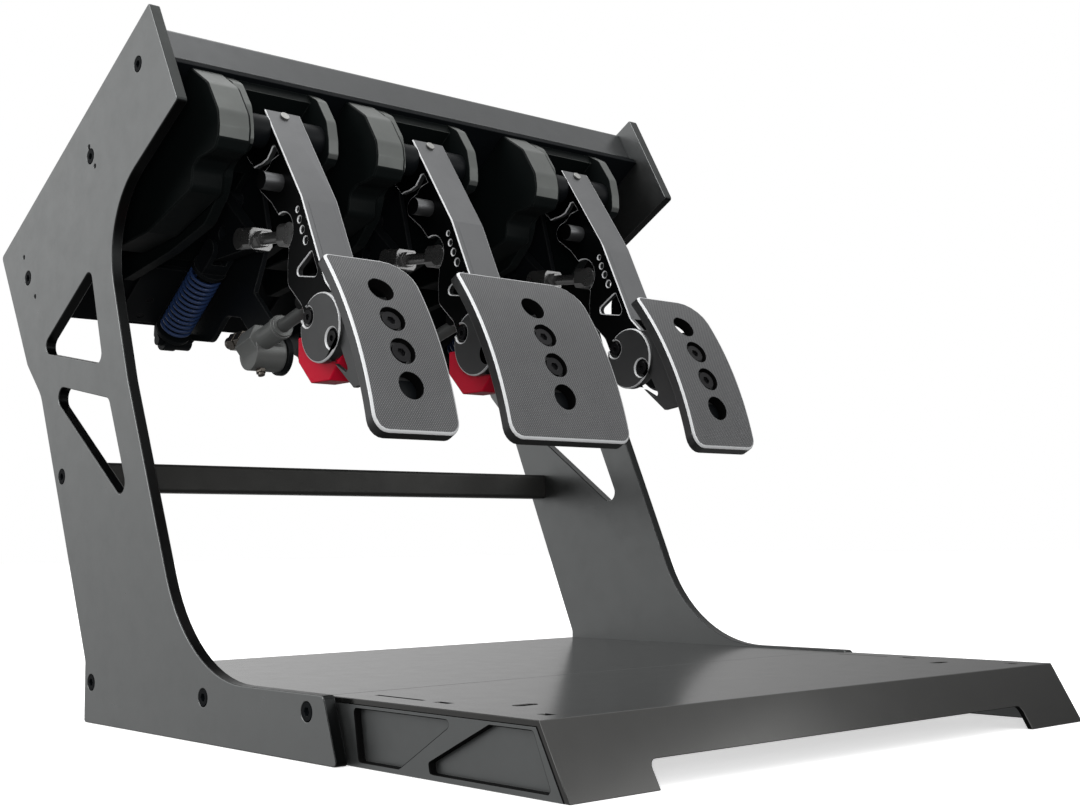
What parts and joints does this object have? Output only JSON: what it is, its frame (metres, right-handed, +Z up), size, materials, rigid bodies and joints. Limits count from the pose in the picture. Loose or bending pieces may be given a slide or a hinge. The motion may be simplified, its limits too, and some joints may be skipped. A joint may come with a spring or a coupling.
{
  "type": "hanging sim racing pedal set",
  "caption": "Freestanding sim racing pedal set: clutch, brake and throttle hang from a sloping head between two cut-out side plates, with coil-over linkages, over a foot floor.",
  "frame": {"origin": "middle of the footprint, on the ground under the stand", "axes": "+Z up, -Y towards the driver, +X to the driver's right"},
  "size_m": [0.44, 0.6212, 0.4623],
  "materials": {
    "frame_paint": "satin",
    "black_steel": "matte",
    "dark_aluminium": "satin",
    "grey_aluminium": "satin",
    "pedal_grey": "satin",
    "bright_steel": "polished",
    "black_screw": "satin",
    "spring_blue": "gloss",
    "black_plastic": "matte",
    "rod_grey": "satin",
    "red_elastomer": "satin"
  },
  "bodies": {
    "stand": {"left_side_plate": "frame_paint", "right_side_plate": "frame_paint", "top_cover": "frame_paint", "pedal_deck": "black_steel", "crossbar": "black_steel", "rear_floor": "frame_paint", "front_floor": "frame_paint", "left_rail": "black_steel", "right_rail": "black_steel", "frame_fasteners": "black_screw", "module_bolts": "black_screw", "hydraulic_fittings": "bright_steel", "pivot_pins": "bright_steel", "clutch_yoke": "grey_aluminium", "clutch_sensor_block": "black_plastic", "clutch_damper_frame": "black_steel", "clutch_cylinder": "dark_aluminium", "brake_yoke": "grey_aluminium", "brake_sensor_block": "black_plastic", "brake_damper_frame": "black_steel", "brake_cylinder": "dark_aluminium", "throttle_yoke": "grey_aluminium", "throttle_sensor_block": "black_plastic", "throttle_damper_frame": "black_steel"},
    "clutch_pedal": {"clutch_arm": "pedal_grey", "clutch_pivot_bushes": "dark_aluminium", "clutch_pad_bracket": "pedal_grey", "clutch_pad": "pedal_grey", "clutch_pedal_screws": "black_screw", "clutch_bumper": "red_elastomer"},
    "clutch_push_link": {"clutch_link": "bright_steel"},
    "clutch_lever": {"clutch_rocker": "dark_aluminium"},
    "clutch_coilover_low": {"clutch_spring_cup": "black_plastic", "clutch_spring": "spring_blue"},
    "clutch_coilover_top": {"clutch_spring_rod": "dark_aluminium"},
    "clutch_hydraulic_rod": {"clutch_cylinder_rod": "rod_grey"},
    "brake_pedal": {"brake_arm": "pedal_grey", "brake_pivot_bushes": "dark_aluminium", "brake_pad_bracket": "pedal_grey", "brake_pad": "pedal_grey", "brake_pedal_screws": "black_screw", "brake_bumper": "red_elastomer"},
    "brake_push_link": {"brake_link": "bright_steel"},
    "brake_lever": {"brake_rocker": "dark_aluminium"},
    "brake_coilover_low": {"brake_spring_cup": "black_plastic", "brake_spring": "spring_blue"},
    "brake_coilover_top": {"brake_spring_rod": "dark_aluminium"},
    "brake_hydraulic_rod": {"brake_cylinder_rod": "rod_grey"},
    "throttle_pedal": {"throttle_arm": "pedal_grey", "throttle_pivot_bushes": "dark_aluminium", "throttle_pad_bracket": "pedal_grey", "throttle_pad": "pedal_grey", "throttle_pedal_screws": "black_screw"},
    "throttle_push_link": {"throttle_link": "bright_steel"},
    "throttle_lever": {"throttle_rocker": "dark_aluminium"},
    "throttle_coilover_low": {"throttle_spring_cup": "black_plastic", "throttle_spring": "spring_blue"},
    "throttle_coilover_top": {"throttle_spring_rod": "dark_aluminium"}
  },
  "joints": [
    {"name": "clutch_press", "type": "hinge", "parent": "stand", "child": "clutch_pedal", "pos_m": [-0.132, 0.0575, 0.38702], "axis": [1, 0, 0], "range_deg": [0, 15], "stiffness_Nm_per_rad": 20, "springref_deg": -5.73},
    {"name": "clutch_lever_turn", "type": "hinge", "parent": "stand", "child": "clutch_lever", "pos_m": [-0.132, 0.1405, 0.36002], "axis": [1, 0, 0], "range_deg": [0, 25.62]},
    {"name": "clutch_link_turn", "type": "hinge", "parent": "clutch_pedal", "child": "clutch_push_link", "pos_m": [-0.132, 0.0325, 0.31502], "axis": [1, 0, 0], "range_deg": [-25.78, 0]},
    {"name": "clutch_coilover_turn", "type": "hinge", "parent": "stand", "child": "clutch_coilover_low", "pos_m": [-0.132, 0.2155, 0.26602], "axis": [1, 0, 0], "range_deg": [-8.3, 0]},
    {"name": "clutch_coilover_slide", "type": "slide", "parent": "clutch_coilover_low", "child": "clutch_coilover_top", "axis": [0, -0.8137, 0.5812], "range_m": [-0.0122, 0], "deforming": ["clutch_spring"]},
    {"name": "clutch_rod_slide", "type": "slide", "parent": "stand", "child": "clutch_hydraulic_rod", "axis": [0, -0.9681, 0.2504], "range_m": [-0.0337, 0]},
    {"name": "brake_press", "type": "hinge", "parent": "stand", "child": "brake_pedal", "pos_m": [-0.011, 0.0575, 0.38702], "axis": [1, 0, 0], "range_deg": [0, 10], "stiffness_Nm_per_rad": 20, "springref_deg": -5.73},
    {"name": "brake_lever_turn", "type": "hinge", "parent": "stand", "child": "brake_lever", "pos_m": [-0.011, 0.1405, 0.36002], "axis": [1, 0, 0], "range_deg": [0, 17.24]},
    {"name": "brake_link_turn", "type": "hinge", "parent": "brake_pedal", "child": "brake_push_link", "pos_m": [-0.011, 0.0325, 0.31502], "axis": [1, 0, 0], "range_deg": [-17.35, 0]},
    {"name": "brake_coilover_turn", "type": "hinge", "parent": "stand", "child": "brake_coilover_low", "pos_m": [-0.011, 0.2155, 0.26602], "axis": [1, 0, 0], "range_deg": [-5.7, 0]},
    {"name": "brake_coilover_slide", "type": "slide", "parent": "brake_coilover_low", "child": "brake_coilover_top", "axis": [0, -0.8137, 0.5812], "range_m": [-0.0083, 0], "deforming": ["brake_spring"]},
    {"name": "brake_rod_slide", "type": "slide", "parent": "stand", "child": "brake_hydraulic_rod", "axis": [0, -0.9681, 0.2504], "range_m": [-0.02263, 0]},
    {"name": "throttle_press", "type": "hinge", "parent": "stand", "child": "throttle_pedal", "pos_m": [0.132, 0.0575, 0.38702], "axis": [1, 0, 0], "range_deg": [0, 14], "stiffness_Nm_per_rad": 20, "springref_deg": -5.73},
    {"name": "throttle_lever_turn", "type": "hinge", "parent": "stand", "child": "throttle_lever", "pos_m": [0.132, 0.1405, 0.36002], "axis": [1, 0, 0], "range_deg": [0, 23.94]},
    {"name": "throttle_link_turn", "type": "hinge", "parent": "throttle_pedal", "child": "throttle_push_link", "pos_m": [0.132, 0.0325, 0.31502], "axis": [1, 0, 0], "range_deg": [-24.09, 0]},
    {"name": "throttle_coilover_turn", "type": "hinge", "parent": "stand", "child": "throttle_coilover_low", "pos_m": [0.132, 0.2155, 0.26602], "axis": [1, 0, 0], "range_deg": [-7.78, 0]},
    {"name": "throttle_coilover_slide", "type": "slide", "parent": "throttle_coilover_low", "child": "throttle_coilover_top", "axis": [0, -0.8137, 0.5812], "range_m": [-0.01142, 0], "deforming": ["throttle_spring"]}
  ],
  "couplings": [
    {"joint": "clutch_lever_turn", "follows": "clutch_press", "ratio": 1.6744},
    {"joint": "clutch_link_turn", "follows": "clutch_press", "ratio": -1.685},
    {"joint": "clutch_coilover_turn", "follows": "clutch_press", "ratio": -0.5199},
    {"joint": "clutch_coilover_slide", "follows": "clutch_press", "m_per_rad": -0.044693},
    {"joint": "clutch_rod_slide", "follows": "clutch_press", "m_per_rad": -0.1268},
    {"joint": "brake_lever_turn", "follows": "brake_press", "ratio": 1.6744},
    {"joint": "brake_link_turn", "follows": "brake_press", "ratio": -1.685},
    {"joint": "brake_coilover_turn", "follows": "brake_press", "ratio": -0.5199},
    {"joint": "brake_coilover_slide", "follows": "brake_press", "m_per_rad": -0.044693},
    {"joint": "brake_rod_slide", "follows": "brake_press", "m_per_rad": -0.1268},
    {"joint": "throttle_lever_turn", "follows": "throttle_press", "ratio": 1.6744},
    {"joint": "throttle_link_turn", "follows": "throttle_press", "ratio": -1.685},
    {"joint": "throttle_coilover_turn", "follows": "throttle_press", "ratio": -0.5199},
    {"joint": "throttle_coilover_slide", "follows": "throttle_press", "m_per_rad": -0.044693}
  ]
}
